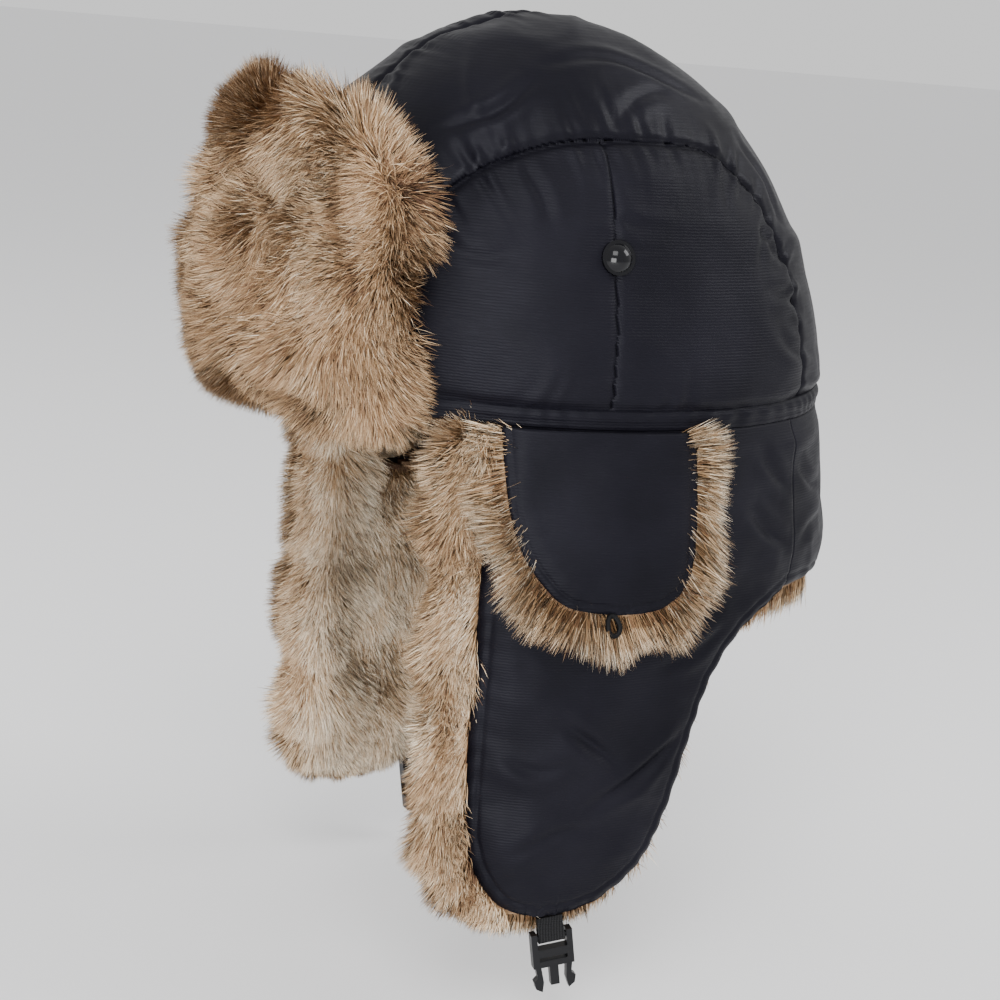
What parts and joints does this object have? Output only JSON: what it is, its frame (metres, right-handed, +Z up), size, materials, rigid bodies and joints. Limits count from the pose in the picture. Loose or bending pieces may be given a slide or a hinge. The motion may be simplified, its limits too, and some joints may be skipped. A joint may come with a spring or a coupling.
{
  "type": "trapper hat",
  "caption": "Padded nylon trapper hat with fur-lined front, neck and ear flaps, liftable ear-vent flaps, dome buttons and a side-release chin strap.",
  "frame": {"origin": "centre of the head opening, in the plane of the band's lower edge", "axes": "+Z up through the crown, -Y is the hat's front, +X is the wearer's left"},
  "size_m": [0.214, 0.2539, 0.3587],
  "materials": {
    "nylon": "soft satin woven nylon",
    "wadding": "lofted polyester wadding",
    "lining": "smooth quilted lining cloth",
    "sweatband": "brushed knit",
    "fur": "long faux fur pile",
    "webbing": "woven polypropylene webbing",
    "buckle": "satin moulded acetal",
    "button": "polished black",
    "washer": "plated",
    "elastic": "braided round elastic",
    "binding": "folded bias binding",
    "hook_and_loop": "hook and loop tape"
  },
  "bodies": {
    "crown": {"button_washer_left": "washer", "button_washer_right": "washer", "crown_lining": "lining", "crown_padding": "wadding", "crown_top_left": "nylon", "crown_top_right": "nylon", "dome_button_left": "button", "dome_button_right": "button", "front_patch_loop": "hook_and_loop", "headband": "nylon", "side_panel_back_left": "nylon", "side_panel_back_right": "nylon", "side_panel_front_left": "nylon", "side_panel_front_right": "nylon", "sweatband": "sweatband"},
    "front_flap": {"front_flap_fur": "fur", "front_flap_padding": "wadding", "front_flap_shell": "nylon", "front_patch_hook": "hook_and_loop"},
    "neck_flap": {"neck_flap_fur": "fur", "neck_flap_padding": "wadding", "neck_flap_shell": "nylon"},
    "left_ear_flap": {"ear_flap_fur_left": "fur", "ear_flap_padding_left": "wadding", "ear_flap_shell_left": "nylon", "vent_binding_left": "binding"},
    "left_vent_flap": {"vent_flap_fur_left": "fur", "vent_flap_shell_left": "nylon", "vent_loop_left": "elastic"},
    "left_strap": {"strap_left": "webbing"},
    "left_buckle": {"buckle_male": "buckle"},
    "right_ear_flap": {"ear_flap_fur_right": "fur", "ear_flap_padding_right": "wadding", "ear_flap_shell_right": "nylon", "vent_binding_right": "binding"},
    "right_vent_flap": {"vent_flap_fur_right": "fur", "vent_flap_shell_right": "nylon", "vent_loop_right": "elastic"},
    "right_strap": {"strap_right": "webbing"},
    "right_buckle": {"buckle_female": "buckle"}
  },
  "joints": [
    {"name": "front_flap_fold", "type": "hinge", "parent": "crown", "child": "front_flap", "pos_m": [0, -0.117, 0.002], "axis": [1, 0, 0], "range_deg": [0, 140]},
    {"name": "neck_flap_fold", "type": "hinge", "parent": "crown", "child": "neck_flap", "pos_m": [0, 0.115, 0], "axis": [1, 0, 0], "range_deg": [0, 150]},
    {"name": "left_ear_flap_fold", "type": "hinge", "parent": "crown", "child": "left_ear_flap", "pos_m": [0.097, 0, 0], "axis": [0, -1, 0], "range_deg": [0, 160]},
    {"name": "left_vent_flap_lift", "type": "hinge", "parent": "left_ear_flap", "child": "left_vent_flap", "pos_m": [0.0945, -0.025, -0.001], "axis": [0, -1, 0], "range_deg": [0, 172]},
    {"name": "right_ear_flap_fold", "type": "hinge", "parent": "crown", "child": "right_ear_flap", "pos_m": [-0.097, 0, 0], "axis": [0, 1, 0], "range_deg": [0, 160]},
    {"name": "right_vent_flap_lift", "type": "hinge", "parent": "right_ear_flap", "child": "right_vent_flap", "pos_m": [-0.0945, -0.025, -0.001], "axis": [0, 1, 0], "range_deg": [0, 172]},
    {"name": "left_strap_swing", "type": "hinge", "parent": "left_ear_flap", "child": "left_strap", "pos_m": [0.08575, -0.028, -0.1875], "axis": [-0.2155, -0.9609, -0.1736], "range_deg": [-15, 65]},
    {"name": "left_buckle_swing", "type": "hinge", "parent": "left_strap", "child": "left_buckle", "pos_m": [0.08609, -0.02647, -0.19636], "axis": [-0.2155, -0.9609, -0.1736], "range_deg": [-60, 60]},
    {"name": "right_strap_swing", "type": "hinge", "parent": "right_ear_flap", "child": "right_strap", "pos_m": [-0.08879, -0.002, -0.1806], "axis": [-0.0152, 0.9847, 0.1736], "range_deg": [-15, 65]},
    {"name": "right_buckle_swing", "type": "hinge", "parent": "right_strap", "child": "right_buckle", "pos_m": [-0.08882, 0.00008, -0.19242], "axis": [-0.0152, 0.9847, 0.1736], "range_deg": [-60, 60]}
  ]
}
